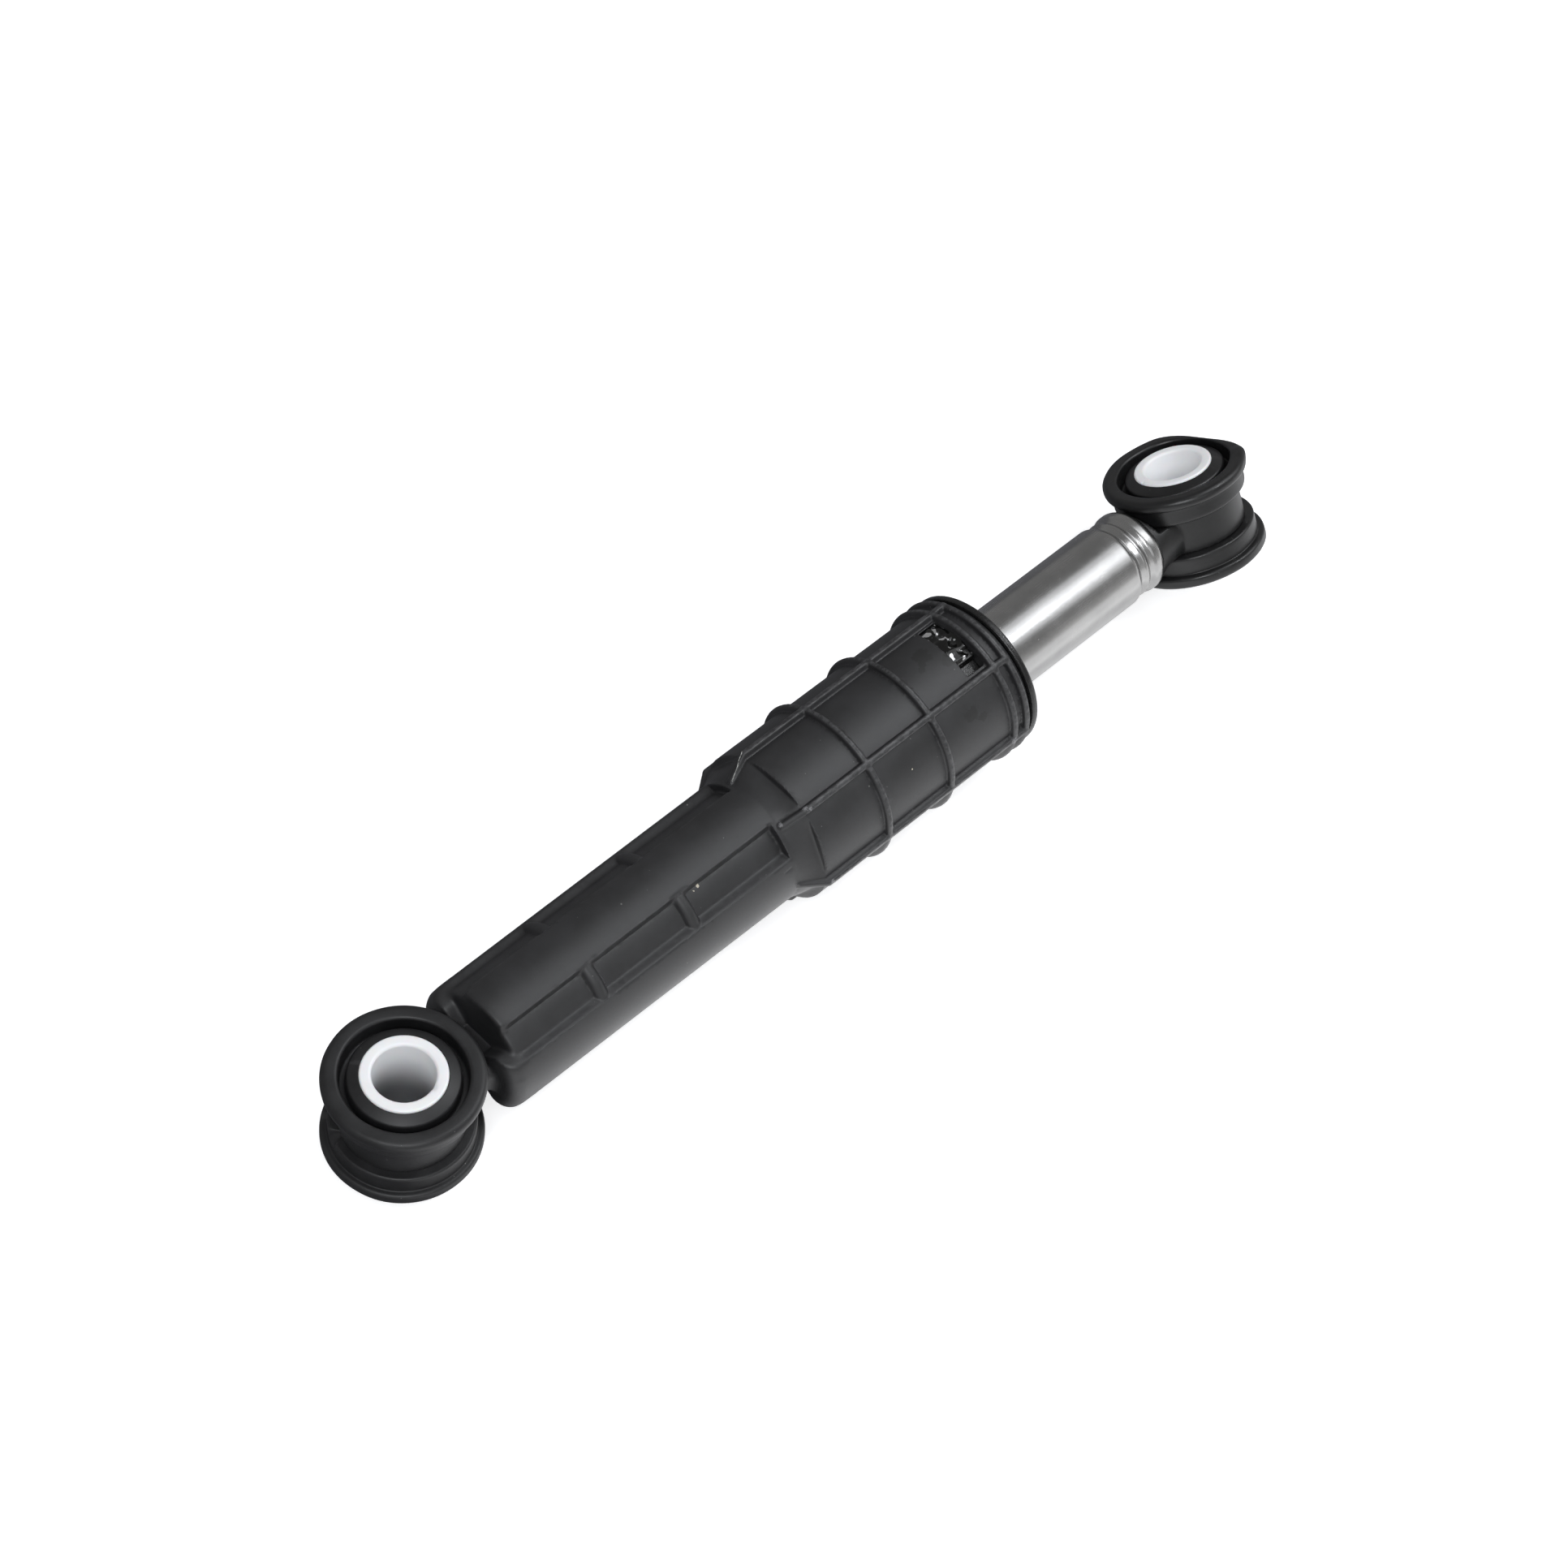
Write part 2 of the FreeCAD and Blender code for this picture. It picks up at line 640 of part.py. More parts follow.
def make_rod_tube():
    """Steel tube, swaged onto the eye's stem with a rolled bead and an end cuff."""
    body = new_body("rod_tube")
    end = "eye_distance - rod_end_gap"
    inside = "rod_radius - rod_wall"
    outline = [
        (f"{end} - rod_length", "rod_radius"),
        (f"{end} - rolled_length", "rod_radius"),
        (f"{end} - rolled_length + bead_flank", "bead_valley_radius"),
        (f"{end} - bead_from_end", "bead_radius"),
        (f"{end} - cuff_length", "cuff_valley_radius"),
        (f"{end} - cuff_length + bead_flank", "cuff_radius"),
        (f"{end} - cuff_lip_length", "cuff_radius"),
        (end, "cuff_lip_radius"),
    ]
    wall = [
        (end, "swage_radius"),
        (f"{end} - rolled_length + bead_flank", "swage_radius"),
        (f"{end} - rolled_length", inside),
        (f"{end} - rod_length", inside),
    ]
    section = new_sketch(body, "rod_section", "XZ_Plane")
    polygon(section, outline + wall)
    turned(body, "rod_turned", section, "X_Axis")
    beads = any_of(*(turned_edge("x", place, radius) for place, radius in outline[1:-1]))
    rounded(body, "rod_beads", "bead_round", beads)
    rounded(body, "rod_inner_end", "rod_end_round", turned_edge("x", *outline[0]))
    return body


def make_upper_eye():
    """Moulded eye ring with the stem that the tube is swaged onto, modelled about the eye's centre."""
    body = new_body("upper_eye")
    plug = "rod_radius - rod_wall - press_gap"
    neck = "swage_radius - press_gap"
    section = new_sketch(body, "stem_section", "XZ_Plane")
    polygon(section, [
        ("- stem_length", "0"),
        ("- stem_length", plug),
        ("- rod_end_gap - rolled_length - stem_gap", plug),
        ("- rod_end_gap - rolled_length + bead_flank - stem_gap", neck),
        ("- rod_end_gap + stem_gap", neck),
        ("- rod_end_gap + stem_gap", "stem_radius"),
        ("0", "stem_radius"),
        ("0", "0"),
    ])
    turned(body, "stem", section, "X_Axis")
    room = new_sketch(body, "flange_room", "XZ_Plane")
    for low, high in (("ring_half_width", "bush_half_width"),
                      ("- bush_half_width", "- ring_half_width")):
        block(room, ("0", low), (TUBE_START, high))
    turned(body, "flange_rooms", room, "Z_Axis", cut=True)
    ring = new_sketch(body, "upper_eye_outline", "XY_Plane")
    disc(ring, "ring_radius")
    padded(body, "upper_eye_ring", ring, "ring_half_width")
    hole = new_sketch(body, "upper_eye_bore_outline", "XY_Plane")
    disc(hole, "ring_bore_radius")
    cut_through(body, "upper_eye_bore", hole)
    return body


bodies = [
    make_housing(),
    make_bush("lower_bush"),
    make_sleeve("lower_sleeve"),
    make_guide_cap(),
    make_friction_lining(),
    make_rod_tube(),
]
for upper_piece in (make_upper_eye(), make_bush("upper_bush"), make_sleeve("upper_sleeve")):
    seat_at_upper_eye(upper_piece)
    bodies.append(upper_piece)
doc.recompute()

for item in doc.Objects:
    if "Invalid" in item.State or "Error" in item.State:
        raise RuntimeError(f"{item.Label} failed: {item.State}")
for body in bodies:
    if body.Shape.isNull() or not body.Shape.isValid() or len(body.Shape.Solids) != 1:
        raise RuntimeError(f"{body.Label} is not one sound solid")

os.makedirs("parts", exist_ok=True)
for body in bodies:
    body.Shape.exportStep(f"parts/{body.Label}.step")
    print(body.Label, f"{body.Shape.Volume:.1f} mm3")
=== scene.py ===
"""Looks of the washing machine friction damper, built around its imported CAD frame.

Metres, in the CAD frame: the origin is the lower eye's bore centre, +X runs to the upper eye and +Z is up.
Sizes in the outlines and patterns are in millimetres.
"""

import math

import bmesh
import bpy
from mathutils import Matrix, Vector, noise
from mathutils.bvhtree import BVHTree


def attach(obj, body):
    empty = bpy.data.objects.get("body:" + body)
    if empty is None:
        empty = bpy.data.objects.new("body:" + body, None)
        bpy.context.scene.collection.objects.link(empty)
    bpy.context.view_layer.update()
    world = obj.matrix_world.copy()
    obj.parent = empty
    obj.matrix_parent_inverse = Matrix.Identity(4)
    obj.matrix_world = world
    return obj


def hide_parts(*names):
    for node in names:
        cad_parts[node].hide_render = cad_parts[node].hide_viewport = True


noise.seed_set(5)
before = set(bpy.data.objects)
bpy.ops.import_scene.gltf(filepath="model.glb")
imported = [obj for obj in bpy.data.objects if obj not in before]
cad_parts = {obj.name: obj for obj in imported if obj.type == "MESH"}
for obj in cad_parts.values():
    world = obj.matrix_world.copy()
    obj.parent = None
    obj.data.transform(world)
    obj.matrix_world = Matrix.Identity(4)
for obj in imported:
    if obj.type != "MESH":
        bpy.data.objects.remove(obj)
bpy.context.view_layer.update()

MM = 0.001
EYE_DISTANCE = 238.0
EYE_ANGLE = math.radians(31.5)
UPPER_EYE = Matrix.Translation((EYE_DISTANCE * MM, 0, 0)) @ Matrix.Rotation(-EYE_ANGLE, 4, "X")
# The damper's middle in metres, which the lamps face
MIDDLE = Vector((0.12, 0, 0))
FLOOR_HEIGHT = -19.5
# Steps in the full turn of a turned form
TURN_STEPS = 180

# The housing's rounds, as in the CAD
TUBE_START = 17.2
TUBE_LENGTH = 85.6
TUBE_START_RADIUS = 14.6
TUBE_GROWTH = 0.4
POCKET_RADIUS = 13.0
BARREL_RADIUS = 18.0
# Cross ribs in the pockets, on X
CROSS_RIBS = (43.9, 70.0)


class Socket:
    """A node's output in a finish; arithmetic on it adds Math nodes."""

    def __init__(self, finish, link):
        self.finish = finish
        self.link = link

    def math(self, operation, *values):
        return self.finish.node("ShaderNodeMath", {"operation": operation}, dict(enumerate(values)))

    def __add__(self, other):
        return self.math("ADD", self, other)

    def __radd__(self, other):
        return self.math("ADD", other, self)

    def __sub__(self, other):
        return self.math("SUBTRACT", self, other)

    def __rsub__(self, other):
        return self.math("SUBTRACT", other, self)

    def __mul__(self, other):
        return self.math("MULTIPLY", self, other)

    def __rmul__(self, other):
        return self.math("MULTIPLY", other, self)

    def __truediv__(self, other):
        return self.math("DIVIDE", self, other)

    def most(self, other):
        return self.math("MAXIMUM", self, other)


class Finish:
    """A material, or the world, under construction."""

    def __init__(self, holder, shader):
        holder.use_nodes = True
        self.holder = holder
        self.nodes = holder.node_tree.nodes
        self.links = holder.node_tree.links
        self.nodes.clear()
        self.shader = self.nodes.new(shader)

    def node(self, kind, settings=None, sockets=None, output=0):
        """Add a node: its settings first, then the values or links of its sockets."""
        made = self.nodes.new(kind)
        for name, value in (settings or {}).items():
            if name == "stops":
                self.set_stops(made.color_ramp, value)
            else:
                setattr(made, name, value)
        for name, value in (sockets or {}).items():
            self.feed(made.inputs[name], value)
        return Socket(self, made.outputs[output])

    @staticmethod
    def set_stops(ramp, stops):
        while len(ramp.elements) < len(stops):
            ramp.elements.new(1.0)
        for element, (place, grey) in zip(ramp.elements, stops):
            element.position = place
            element.color = (grey, grey, grey, 1)

    def feed(self, target, value):
        if isinstance(value, Socket):
            self.links.new(value.link, target)
        else:
            target.default_value = value

    def set(self, **values):
        """Set the shader's own sockets; an underscore stands for a space."""
        for name, value in values.items():
            self.feed(self.shader.inputs[name.replace("_", " ")], value)

    def place(self, scale=1.0, stretch=(1, 1, 1), shift=(0, 0, 0)):
        """Object coordinates in millimetres, scaled for a pattern of so many features a millimetre."""
        spot = self.node("ShaderNodeTexCoord", output="Object")
        size = tuple(scale * part / MM for part in stretch)
        return self.node("ShaderNodeMapping", None, {"Vector": spot, "Scale": size, "Location": shift})

    def parts(self, vector):
        """The X, Y and Z of a vector."""
        split = self.node("ShaderNodeSeparateXYZ", None, {0: vector})
        return [Socket(self, output) for output in split.link.node.outputs]

    def from_axis(self):
        """Distance from the damper's axis in millimetres."""
        across = self.node("ShaderNodeVectorMath", {"operation": "MULTIPLY"},
                           {0: self.place(), 1: (0, 1, 1)})
        return self.node("ShaderNodeVectorMath", {"operation": "LENGTH"}, {0: across}, output="Value")

    def from_spot(self, spot):
        """Distance from a spot in millimetres."""
        return self.node("ShaderNodeVectorMath", {"operation": "DISTANCE"}, {0: self.place(), 1: spot},
                         output="Value")

    def noise(self, scale, detail=2.0, rough=0.5, stretch=(1, 1, 1), shift=(0, 0, 0)):
        where = self.place(scale, stretch, shift)
        return self.node("ShaderNodeTexNoise", None, {"Vector": where, "Scale": 1.0, "Detail": detail,
                                                      "Roughness": rough})

    def step(self, value, low, high):
        """Smooth step from 0 at low to 1 at high."""
        return self.node("ShaderNodeMapRange", {"interpolation_type": "SMOOTHSTEP"},
                         {"Value": value, "From Min": low, "From Max": high})

    def blend(self, share, first, second):
        """Colour between two others."""
        return self.node("ShaderNodeMix", {"data_type": "RGBA"}, {0: share, 6: first, 7: second}, output=2)

    def specks(self, pitch, size, share, stretch=(1, 1, 1), shift=(0, 0, 0)):
        """Scattered dots: a share of the cells, each so many millimetres wide, holds a dot."""
        cells = {"Vector": self.place(1 / pitch, stretch, shift), "Scale": 1.0}
        dots = self.node("ShaderNodeTexVoronoi", None, cells)
        pick = self.node("ShaderNodeTexVoronoi", None, cells, output="Color")
        chance = self.node("ShaderNodeSeparateColor", None, {0: pick})
        dot = self.step(dots, size / pitch, 0.4 * size / pitch)
        return dot * self.step(chance, 1 - share, 1 - 0.9 * share)

    def spots(self, places, ragged, depth):
        """Ragged patches, each at a place in millimetres and of a radius."""
        total = None
        for spot, radius in places:
            inside = self.step(self.from_spot(spot) / radius + depth * (ragged - 0.5), 1.0, 0.78)
            total = inside if total is None else total.most(inside)
        return total

    def edges(self, low, high):
        """Sharp outward edges of the mesh."""
        return self.step(self.node("ShaderNodeNewGeometry", output="Pointiness"), low, high)

    def bump(self, height, strength, distance=0.1):
        """Relief whose full height is a distance in millimetres."""
        return self.node("ShaderNodeBump", None, {"Height": height, "Strength": strength,
                                                  "Distance": distance * MM})

    def close(self, output="ShaderNodeOutputMaterial"):
        self.links.new(self.shader.outputs[0], self.nodes.new(output).inputs["Surface"])
        return self.holder


def new_finish(name):
    return Finish(bpy.data.materials.new(name), "ShaderNodeBsdfPrincipled")


def rgb(red, green, blue):
    return (red, green, blue, 1.0)


# Grease wiped over the barrel: place and radius
GREASE_SMEARS = (
    ((150.0, 2.1, 17.9), 2.3),
    ((148.3, 0.6, 18.0), 1.1),
    ((147.2, -0.4, 18.0), 0.9),
    ((153.3, -2.1, 17.9), 1.5),
    ((150.4, -13.2, 12.2), 2.0),
    ((153.0, -14.6, 10.6), 1.3),
)
# Pale scuffs on the ribs and gussets: place and radius
SCUFFS = (
    ((160.1, -19.5, 0.0), 0.9),
    ((97.9, -7.4, 13.8), 0.55),
    ((103.0, -9.0, 16.8), 0.6),
    ((103.9, -9.9, 16.7), 0.4),
    ((103.5, -19.3, 0.4), 0.5),
)
# Crumbs of pale dirt: place and radius
CRUMBS = (
    ((75.3, -6.1, 11.6), 0.42),
    ((73.9, -6.5, 11.5), 0.3),
    ((109.5, -2.6, 18.0), 0.2),
    ((131.0, -14.4, 10.8), 0.2),
)


def moulded_plastic():
    """Satin black moulding with rubbed rib crests, scuffs, dust and grease smears, and a painted highlight
    along the rib crests and the bands' edges.
    """
    finish = new_finish("moulded_plastic")
    cloud = finish.noise(0.11, 4.0, 0.6)
    grain = finish.noise(2.4, 3.0, 0.6)
    fine = finish.noise(8.0, 2.0, 0.5)
    rub = finish.step(finish.noise(1.1, 4.0, 0.7, stretch=(0.5, 1, 1)), 0.40, 0.62)
    along, across, _ = finish.parts(finish.place())
    side = across.math("ABSOLUTE", across)
    on_tube = finish.step(along, 21.0, 24.0) * finish.step(along, 96.5, 95.5)
    # Rib crests and the bands' edges are lighter: partly rubbed wear and dust, partly a painted highlight
    band_edge_dust_and_highlight = finish.step(side, 5.45, 5.65) * finish.step(side, 6.5, 6.15) * on_tube
    worn_and_highlight = finish.step(finish.from_axis(), 19.05, 19.35).most(0.35 * band_edge_dust_and_highlight) * rub
    scuff = finish.spots(SCUFFS, finish.noise(3.2, 5.0, 0.75), 5.0)
    crumb = finish.spots(CRUMBS, finish.noise(3.0, 2.0, 0.5), 1.5)
    dust = finish.specks(2.1, 0.15, 0.25).most(finish.specks(5.0, 0.24, 0.3, shift=(2, 5, 1)))
    smear = finish.spots(GREASE_SMEARS, finish.noise(0.6, 5.0, 0.65), 2.6)
    colour = finish.blend(finish.step(cloud, 0.3, 0.7), rgb(0.008, 0.008, 0.0088), rgb(0.016, 0.016, 0.0175))
    colour = finish.blend(0.6 * worn_and_highlight, colour, rgb(0.075, 0.075, 0.078))
    colour = finish.blend(0.6 * dust, colour, rgb(0.24, 0.24, 0.23))
    colour = finish.blend(0.6 * scuff, colour, rgb(0.28, 0.28, 0.29))
    colour = finish.blend(crumb, colour, rgb(0.50, 0.46, 0.36))
    colour = finish.blend(0.9 * smear, colour, rgb(0.004, 0.004, 0.004))
    rough = 0.50 + 0.14 * (cloud - 0.5) + 0.10 * (grain - 0.5) - 0.08 * worn_and_highlight
    relief = finish.bump(0.6 * grain + 0.4 * fine, 0.32, 0.06)
    finish.set(Base_Color=colour, Roughness=rough, Normal=relief, Specular_IOR_Level=0.7)
    return finish.close()


def greasy_plastic():
    """The guide cap's black moulding under a film of grease."""
    finish = new_finish("greasy_plastic")
    swirl = finish.noise(0.5, 4.0, 0.6)
    streak = finish.noise(1.6, 4.0, 0.65, stretch=(2.0, 1, 1))
    colour = finish.blend(finish.step(swirl, 0.3, 0.7), rgb(0.006, 0.006, 0.006), rgb(0.012, 0.012, 0.012))
    finish.set(Base_Color=colour, Roughness=0.11 + 0.22 * finish.step(streak, 0.35, 0.7),
               Normal=finish.bump(streak, 0.5, 0.15))
    return finish.close()


def bush_rubber():
    """Black rubber with a soft grain and dust, dull at the lower eye and cleaner at the upper one."""
    finish = new_finish("bush_rubber")
    cloud = finish.noise(0.16, 4.0, 0.6)
    grain = finish.noise(2.8, 3.0, 0.6)
    dust = finish.specks(1.8, 0.13, 0.2).most(finish.specks(4.0, 0.2, 0.3, shift=(1, 2, 3)))
    edge = finish.edges(0.515, 0.57) * finish.step(cloud, 0.35, 0.6)
    along, _, _ = finish.parts(finish.place())
    clean = finish.step(along, 100.0, 200.0)
    colour = finish.blend(finish.step(cloud, 0.3, 0.7), rgb(0.009, 0.009, 0.0097), rgb(0.016, 0.016, 0.017))
    colour = finish.blend(0.4 * edge, colour, rgb(0.055, 0.055, 0.056))
    colour = finish.blend(0.6 * dust, colour, rgb(0.25, 0.25, 0.24))
    colour = finish.blend(0.4 * clean, colour, rgb(0.006, 0.006, 0.0055))
    rough = 0.46 - 0.14 * clean + 0.18 * (cloud - 0.5) + 0.1 * (grain - 0.5)
    finish.set(Base_Color=colour, Roughness=rough, Normal=finish.bump(grain, 0.25, 0.05))
    return finish.close()


def eye_plastic():
    """Smooth black moulding of the upper eye, glossier than the housing."""
    finish = new_finish("eye_plastic")
    cloud = finish.noise(0.2, 3.0, 0.6)
    grain = finish.noise(2.6, 2.0, 0.5)
    dust = finish.specks(2.2, 0.14, 0.16)
    colour = finish.blend(finish.step(cloud, 0.3, 0.7), rgb(0.008, 0.008, 0.008), rgb(0.014, 0.014, 0.0143))
    colour = finish.blend(0.6 * dust, colour, rgb(0.3, 0.3, 0.28))
    finish.set(Base_Color=colour, Roughness=0.36 + 0.16 * (cloud - 0.5),
               Normal=finish.bump(grain, 0.15, 0.04))
    return finish.close()


def sleeve_plastic():
    """Natural white plastic, with painted shade deep in the bores, the lower one most."""
    finish = new_finish("sleeve_plastic")
    cloud = finish.noise(0.3, 3.0, 0.5)
    grain = finish.noise(2.2, 2.0, 0.5)
    colour = finish.blend(finish.step(cloud, 0.3, 0.7), rgb(0.945, 0.95, 0.965), rgb(0.97, 0.975, 0.98))
    # Painted shade: the white turns grey towards the depth of each bore
    lower_bore_painted_shade = 0.88 * finish.step(finish.from_spot((0, 0, -12.0)), 22.0, 9.0)
    upper_bore_painted_shade = 0.3 * finish.step(finish.from_spot((EYE_DISTANCE, -6.3, -10.2)), 22.0, 9.0)
    colour = finish.blend(lower_bore_painted_shade.most(upper_bore_painted_shade), colour, rgb(0.13, 0.13, 0.138))
    finish.set(Base_Color=colour, Roughness=0.34 + 0.1 * (grain - 0.5),
               Normal=finish.bump(grain, 0.08, 0.03), Subsurface_Weight=0.15, Subsurface_Scale=0.5 * MM)
    return finish.close()


def rod_steel():
    """Bright drawn tube with fine lengthwise lines, pits and scratches."""
    finish = new_finish("rod_steel")
    lines = finish.noise(1.0, 3.0, 0.6, stretch=(0.03, 5.0, 5.0))
    cloud = finish.noise(0.12, 4.0, 0.6)
    pits = finish.specks(3.0, 0.2, 0.3)
    scratch = finish.specks(4.5, 0.3, 0.35, stretch=(0.4, 2.2, 2.2), shift=(3, 1, 2))
    marks = pits.most(scratch)
    colour = finish.blend(finish.step(cloud, 0.3, 0.7), rgb(0.385, 0.383, 0.38), rgb(0.445, 0.442, 0.437))
    rough = 0.25 + 0.12 * (lines - 0.5) + 0.14 * (cloud - 0.5) + 0.2 * marks
    finish.set(Base_Color=colour, Metallic=1.0, Roughness=rough,
               Normal=finish.bump(0.4 * lines + 0.8 * marks, 0.15, 0.03))
    return finish.close()


def wet_grease():
    """Black grease with a bright wet film in patches."""
    finish = new_finish("wet_grease")
    swirl = finish.noise(0.8, 3.0, 0.6)
    film = finish.step(finish.noise(0.5, 1.0, 0.4, stretch=(1.4, 1, 1), shift=(4, 2, 6)), 0.58, 0.60)
    colour = finish.blend(swirl, rgb(0.002, 0.002, 0.002), rgb(0.005, 0.005, 0.0045))
    colour = finish.blend(film, colour, rgb(0.85, 0.85, 0.86))
    finish.set(Base_Color=colour, Metallic=film, Roughness=0.03 + 0.05 * swirl)
    return finish.close()


def torn_plastic():
    """Moulding flash, stretched pale where it tore."""
    finish = new_finish("torn_plastic")
    stress = finish.noise(2.0, 3.0, 0.6)
    colour = finish.blend(finish.step(stress, 0.35, 0.6), rgb(0.09, 0.09, 0.088), rgb(0.50, 0.50, 0.48))
    finish.set(Base_Color=colour, Roughness=0.5 + 0.2 * stress)
    return finish.close()


def lining_foam():
    """Open foam soaked with grease."""
    finish = new_finish("lining_foam")
    cells = finish.node("ShaderNodeTexVoronoi", None, {"Vector": finish.place(1.4), "Scale": 1.0})
    colour = finish.blend(finish.step(cells, 0.1, 0.6), rgb(0.03, 0.027, 0.02), rgb(0.10, 0.09, 0.07))
    finish.set(Base_Color=colour, Roughness=0.6 + 0.2 * cells, Normal=finish.bump(cells, 0.6, 0.3))
    return finish.close()


def piece(name, mesh, finish, body, slot, *nodes):
    """A finished mesh as a piece of the object, standing for its CAD nodes."""
    obj = bpy.data.objects.new(name, mesh)
    bpy.context.scene.collection.objects.link(obj)
    mesh.materials.clear()
    mesh.materials.append(finish)
    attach(obj, body)
    if nodes:
        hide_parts(*nodes)


def mesh_from(bm, name):
    """Close a bmesh into a smooth mesh with its faces outwards."""
    bmesh.ops.remove_doubles(bm, verts=bm.verts, dist=1e-7)
    bmesh.ops.recalc_face_normals(bm, faces=bm.faces)
    for face in bm.faces:
        face.smooth = True
    mesh = bpy.data.meshes.new(name)
    bm.to_mesh(mesh)
    bm.free()
    return mesh


def turned_form(outline, axis):
    """Full turn of a closed outline of (radius, height, corner cut) about Z or X."""
    bm = bmesh.new()
    corners = [bm.verts.new((radius * MM, 0, height * MM)) for radius, height, _ in outline]
    bm.faces.new(corners)
    for corner, (_, _, corner_cut) in zip(corners, outline):
        if corner_cut:
            bmesh.ops.bevel(bm, geom=[corner], offset=corner_cut * MM, offset_type="OFFSET", segments=6,
                            profile=0.5, affect="VERTICES", clamp_overlap=False, material=-1)
    bmesh.ops.delete(bm, geom=list(bm.faces), context="FACES_ONLY")
    bmesh.ops.spin(bm, geom=list(bm.verts) + list(bm.edges), cent=(0, 0, 0), axis=(0, 0, 1), dvec=(0, 0, 0),
                   angle=2 * math.pi, steps=TURN_STEPS, use_merge=True, use_normal_flip=False,
                   use_duplicate=False)
    if axis == "X":
        bmesh.ops.rotate(bm, verts=bm.verts, cent=(0, 0, 0), matrix=Matrix.Rotation(math.pi / 2, 3, "Y"))
    return bm


def as_built(obj):
    """The mesh of an object with its modifiers applied."""
    graph = bpy.context.evaluated_depsgraph_get()
    return bpy.data.meshes.new_from_object(obj.evaluated_get(graph))


# A corner whose normal leans further from its face than this cosine is set anew
CRISP_LEAN = 0.94
# How far towards the face's centre its new normal is read
CRISP_INSET = 0.35


def crisp_corners(mesh, fine):
    """Where a face meets an edge, its corner takes the fine mesh's normal from inside the face."""
    tree = BVHTree.FromObject(fine, bpy.context.evaluated_depsgraph_get())
    normals = [corner.vector.copy() for corner in mesh.corner_normals]
    for face in mesh.polygons:
        for corner in face.loop_indices:
            if normals[corner].dot(face.normal) < CRISP_LEAN:
                spot = mesh.vertices[mesh.loops[corner].vertex_index].co.lerp(face.center, CRISP_INSET)
                normals[corner] = tree.find_nearest(spot)[1]
    mesh.normals_split_custom_set(normals)


# Unevenness that keeps the triangles of flat panels even when they are thinned: pitch and depth
THINNING_PITCH = 0.8
THINNING_DEPTH = 0.015


def softened(name, node, voxel, passes, share, rework=None):
    """A CAD node's mesh with its edges rounded as a mould leaves them, thinned but shaded as before."""
    source = bpy.data.objects.new(name + "_source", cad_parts[node].data.copy())
    bpy.context.scene.collection.objects.link(source)
    bm = bmesh.new()
    bm.from_mesh(source.data)
    bmesh.ops.remove_doubles(bm, verts=bm.verts, dist=2e-6)
    bm.to_mesh(source.data)
    bm.free()
    grid = source.modifiers.new("grid", "REMESH")
    grid.mode = "VOXEL"
    grid.voxel_size = voxel * MM
    smooth = source.modifiers.new("smooth", "SMOOTH")
    smooth.factor = 0.5
    smooth.iterations = passes
    fine_mesh = as_built(source)
    if rework:
        rework(fine_mesh)
    fine_mesh.shade_smooth()
    fine = bpy.data.objects.new(name + "_fine", fine_mesh)
    rough_mesh = fine_mesh.copy()
    for vert in rough_mesh.vertices:
        vert.co += noise.noise_vector(vert.co / (THINNING_PITCH * MM)) * THINNING_DEPTH * MM
    coarse = bpy.data.objects.new(name + "_coarse", rough_mesh)
    for obj in (fine, coarse):
        bpy.context.scene.collection.objects.link(obj)
    thin = coarse.modifiers.new("thin", "DECIMATE")
    thin.ratio = share
    shading = coarse.modifiers.new("shading", "DATA_TRANSFER")
    shading.object = fine
    shading.use_loop_data = True
    shading.data_types_loops = {"CUSTOM_NORMAL"}
    shading.loop_mapping = "POLYINTERP_NEAREST"
    mesh = as_built(coarse)
    mesh.name = name
    crisp_corners(mesh, fine)
    for obj in (source, fine, coarse):
        bpy.data.objects.remove(obj)
    return mesh


def hump(value, middle, half_width):
    """1 at the middle, falling smoothly to 0 at a half width from it."""
    share = abs(value - middle) / half_width
    return (1 - share * share) ** 2 if share < 1 else 0.0


def around_z(spot):
    """Radius in millimetres and angle in degrees of a spot about the Z axis."""
    return math.hypot(spot.x, spot.y) / MM, math.degrees(math.atan2(spot.y, spot.x))


def turn_between(angle, middle):
    """Angle from a middle, from -180 to 180 degrees."""
    return (angle - middle + 180) % 360 - 180


def ripple(bm, depth, pitch, seed):
    """Slight unevenness of a soft moulding."""
    for vert in bm.verts:
        spot = vert.co / (pitch * MM) + Vector((seed, seed, seed))
        vert.co += noise.noise_vector(spot) * depth * MM


# Height and radius from which a bush's top flange bends
FLANGE_FOOT = 7.0
FLANGE_ROOT = 12.4


def press_upper_flange(bm):
    """The upper bush's top flange, pressed flat on its far side with a crease where the flat ends."""
    for vert in bm.verts:
        radius, angle = around_z(vert.co)
        height = vert.co.z / MM
        if height < FLANGE_FOOT or radius < FLANGE_ROOT:
            continue
        reach = min(1.0, (radius - FLANGE_ROOT) / 3.4) * min(1.0, (height - FLANGE_FOOT) / 1.5)
        flat = hump(turn_between(angle, 8.0), 0.0, 52.0)
        crease = hump(turn_between(angle, -44.0), 0.0, 13.0)
        narrower = 1 - 2.5 * flat * reach / radius
        vert.co.x *= narrower
        vert.co.y *= narrower
        vert.co.z += (0.45 * crease - 0.3 * flat) * reach * MM


def tear_lower_collar(bm):
    """A bite out of the lower bush's lower collar, at the side away from the tube."""
    for vert in bm.verts:
        radius, angle = around_z(vert.co)
        height = vert.co.z / MM
        if not -9.0 < height < -3.5 or radius < 12.4:
            continue
        bite = hump(turn_between(angle, 158.0), 0.0, 8.0) * hump(height, -4.3, 2.6)
        narrower = 1 - min(radius - 12.3, 2.8 * bite) / radius
        vert.co.x *= narrower
        vert.co.y *= narrower


